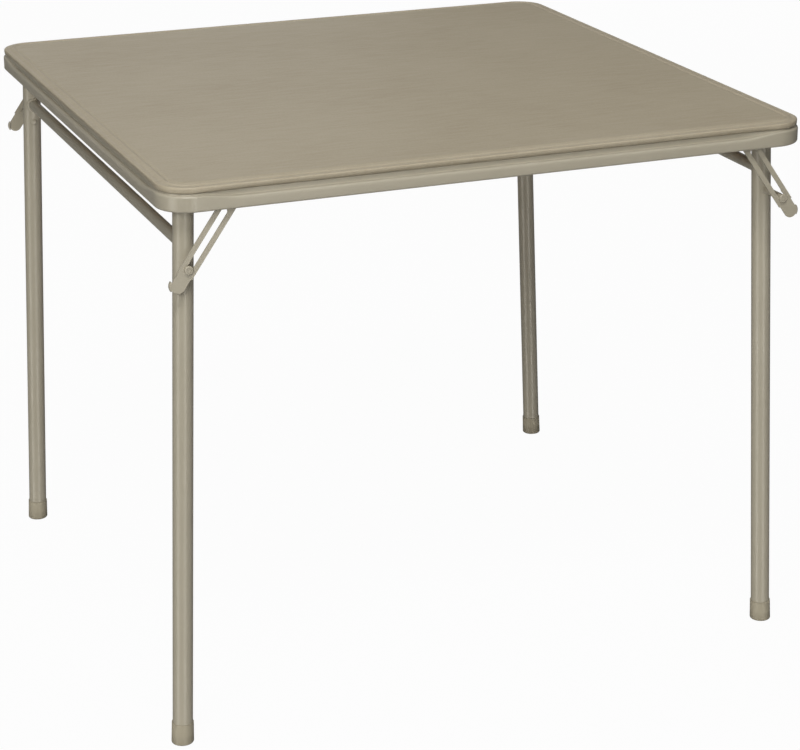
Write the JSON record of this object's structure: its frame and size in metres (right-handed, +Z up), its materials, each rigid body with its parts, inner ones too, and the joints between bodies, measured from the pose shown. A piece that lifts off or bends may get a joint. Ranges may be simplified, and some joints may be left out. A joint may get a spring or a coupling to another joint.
{
  "type": "folding card table",
  "caption": "Square card table with a padded vinyl top on a steel rim, folding tubular steel leg frames, crossbars and slotted locking braces.",
  "frame": {"origin": "on the floor, at the centre of the table's footprint", "axes": "+X to the right along the front edge, +Y from the front edge to the back, +Z up"},
  "size_m": [0.8752, 0.857, 0.7265],
  "materials": {
    "painted_steel": "semi-gloss beige enamel, lightly worn",
    "vinyl": "fine-grained matt vinyl cloth, taupe beige",
    "foam": "soft foam sheet, hidden",
    "hardboard": "pressed hardboard, brown",
    "zinc_steel": "zinc-plated steel, dull",
    "tip_plastic": "matt beige plastic leg tip"
  },
  "bodies": {
    "tabletop": {"rim_frame": "painted_steel", "top_board": "hardboard", "foam_pad": "foam", "vinyl_cover": "vinyl", "panel_screws": "zinc_steel", "leg_bracket_front_left": "painted_steel", "leg_bracket_rear_left": "painted_steel", "leg_bracket_rear_right": "painted_steel", "leg_bracket_front_right": "painted_steel", "leg_pivot_pin_front_left": "zinc_steel", "leg_pivot_pin_rear_left": "zinc_steel", "leg_pivot_pin_rear_right": "zinc_steel", "leg_pivot_pin_front_right": "zinc_steel", "brace_pivot_front_left": "painted_steel", "brace_pivot_rear_left": "painted_steel", "brace_pivot_rear_right": "painted_steel", "brace_pivot_front_right": "painted_steel"},
    "left_leg_frame": {"leg_front_left": "painted_steel", "leg_rear_left": "painted_steel", "crossbar_left": "painted_steel", "leg_tip_front_left": "tip_plastic", "leg_tip_rear_left": "tip_plastic", "stud_spacer_front_left": "painted_steel", "stud_spacer_rear_left": "painted_steel"},
    "right_leg_frame": {"leg_rear_right": "painted_steel", "leg_front_right": "painted_steel", "crossbar_right": "painted_steel", "leg_tip_rear_right": "tip_plastic", "leg_tip_front_right": "tip_plastic", "stud_spacer_rear_right": "painted_steel", "stud_spacer_front_right": "painted_steel"},
    "front_left_brace": {"brace_link_front_left": "painted_steel"},
    "front_left_lock_stud": {"lock_stud_front_left": "painted_steel"},
    "rear_left_brace": {"brace_link_rear_left": "painted_steel"},
    "rear_left_lock_stud": {"lock_stud_rear_left": "painted_steel"},
    "rear_right_brace": {"brace_link_rear_right": "painted_steel"},
    "rear_right_lock_stud": {"lock_stud_rear_right": "painted_steel"},
    "front_right_brace": {"brace_link_front_right": "painted_steel"},
    "front_right_lock_stud": {"lock_stud_front_right": "painted_steel"}
  },
  "joints": [
    {"name": "left_leg_fold", "type": "hinge", "parent": "tabletop", "child": "left_leg_frame", "pos_m": [-0.3956, 0, 0.7012], "axis": [0, -1, 0], "range_deg": [0, 92]},
    {"name": "right_leg_fold", "type": "hinge", "parent": "tabletop", "child": "right_leg_frame", "pos_m": [0.3956, 0, 0.7012], "axis": [0, 1, 0], "range_deg": [0, 92]},
    {"name": "front_left_brace_swing", "type": "hinge", "parent": "tabletop", "child": "front_left_brace", "pos_m": [-0.34313, -0.4163, 0.7037], "axis": [0, -1, 0], "range_deg": [0, 118.27]},
    {"name": "front_left_stud_slide", "type": "slide", "parent": "front_left_brace", "child": "front_left_lock_stud", "axis": [0.5707, 0, 0.8212], "range_m": [0, 0.0722]},
    {"name": "rear_left_brace_swing", "type": "hinge", "parent": "tabletop", "child": "rear_left_brace", "pos_m": [-0.34313, 0.4163, 0.7037], "axis": [0, -1, 0], "range_deg": [0, 118.27]},
    {"name": "rear_left_stud_slide", "type": "slide", "parent": "rear_left_brace", "child": "rear_left_lock_stud", "axis": [0.5707, 0, 0.8212], "range_m": [0, 0.0722]},
    {"name": "rear_right_brace_swing", "type": "hinge", "parent": "tabletop", "child": "rear_right_brace", "pos_m": [0.34313, 0.4163, 0.7037], "axis": [0, 1, 0], "range_deg": [0, 118.27]},
    {"name": "rear_right_stud_slide", "type": "slide", "parent": "rear_right_brace", "child": "rear_right_lock_stud", "axis": [-0.5707, 0, 0.8212], "range_m": [0, 0.0722]},
    {"name": "front_right_brace_swing", "type": "hinge", "parent": "tabletop", "child": "front_right_brace", "pos_m": [0.34313, -0.4163, 0.7037], "axis": [0, 1, 0], "range_deg": [0, 118.27]},
    {"name": "front_right_stud_slide", "type": "slide", "parent": "front_right_brace", "child": "front_right_lock_stud", "axis": [-0.5707, 0, 0.8212], "range_m": [0, 0.0722]}
  ],
  "couplings": [
    {"joint": "front_left_brace_swing", "follows": "left_leg_fold", "ratio": 1.285},
    {"joint": "front_left_stud_slide", "follows": "left_leg_fold", "m_per_rad": 0.044934},
    {"joint": "rear_left_brace_swing", "follows": "left_leg_fold", "ratio": 1.285},
    {"joint": "rear_left_stud_slide", "follows": "left_leg_fold", "m_per_rad": 0.044934},
    {"joint": "rear_right_brace_swing", "follows": "right_leg_fold", "ratio": 1.285},
    {"joint": "rear_right_stud_slide", "follows": "right_leg_fold", "m_per_rad": 0.044934},
    {"joint": "front_right_brace_swing", "follows": "right_leg_fold", "ratio": 1.285},
    {"joint": "front_right_stud_slide", "follows": "right_leg_fold", "m_per_rad": 0.044934}
  ]
}
